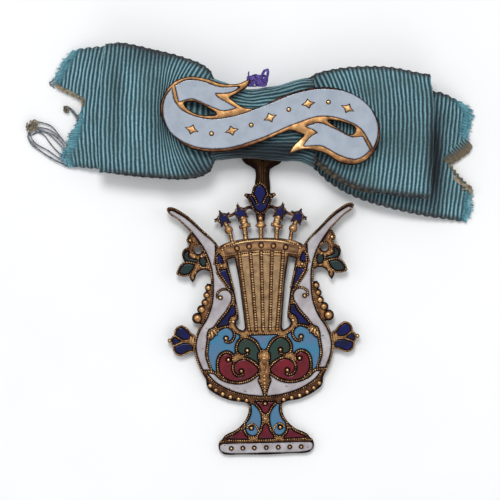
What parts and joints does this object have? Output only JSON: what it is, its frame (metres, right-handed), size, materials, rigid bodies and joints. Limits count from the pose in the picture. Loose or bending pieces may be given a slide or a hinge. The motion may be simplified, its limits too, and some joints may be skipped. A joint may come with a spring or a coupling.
{
  "type": "competition badge",
  "caption": "Enamelled lyre pendant hung by a strap under a ribbed ribbon bow, with an enamelled scroll on its knot; lies face up.",
  "frame": {"origin": "under the middle of the badge's box, on the surface that it lies on", "axes": "+X along the bow to the right, +Y from the lyre's foot to the bow, +Z out of the badge's face"},
  "size_m": [0.0852, 0.0822, 0.0098],
  "materials": {
    "gilt": "gilt, worn, with dark patina in the recesses",
    "bronze": "dark bronze patina",
    "ribbon": "ribbed grosgrain, faded teal",
    "white": "opaque vitreous enamel, glossy, soiled at its edges",
    "scroll_white": "opaque vitreous enamel, glossy",
    "cobalt": "opaque vitreous enamel, glossy",
    "sky": "opaque vitreous enamel, glossy",
    "green": "opaque vitreous enamel, glossy",
    "red": "opaque vitreous enamel, glossy",
    "burgundy": "opaque vitreous enamel, glossy"
  },
  "bodies": {
    "root": {"arm_blue_low_left": "cobalt", "arm_blue_low_right": "cobalt", "arm_blue_main_left": "cobalt", "arm_blue_main_right": "cobalt", "arm_blue_top_left": "cobalt", "arm_blue_top_right": "cobalt", "arm_white_left": "white", "arm_white_right": "white", "base_white": "white", "bow_loops": "ribbon", "bow_tails": "ribbon", "brooch_pin": "bronze", "crescent_white_left": "white", "crescent_white_right": "white", "ear_lower_left": "cobalt", "ear_lower_right": "cobalt", "ear_tip_left": "cobalt", "ear_tip_right": "cobalt", "ear_upper_left": "cobalt", "ear_upper_right": "cobalt", "foot_crimson": "burgundy", "foot_middle": "burgundy", "foot_red_left": "burgundy", "foot_red_right": "burgundy", "foot_sky_left": "sky", "foot_sky_right": "sky", "green_left": "green", "green_right": "green", "hanger": "bronze", "knot_band": "ribbon", "leaf_drop_left": "green", "leaf_drop_right": "green", "leaf_frond_left": "green", "leaf_frond_right": "green", "leaf_large_left": "green", "leaf_large_right": "green", "lyre_frame": "gilt", "palmette_blue": "cobalt", "red_left": "red", "red_right": "red", "scroll_banner": "scroll_white", "scroll_frame": "gilt", "scroll_turn_left": "scroll_white", "scroll_turn_right": "scroll_white", "sky_left": "sky", "sky_right": "sky", "sky_wedge": "sky", "star_inner_left": "cobalt", "star_inner_right": "cobalt", "star_outer_left": "cobalt", "star_outer_right": "cobalt"}
  },
  "joints": []
}
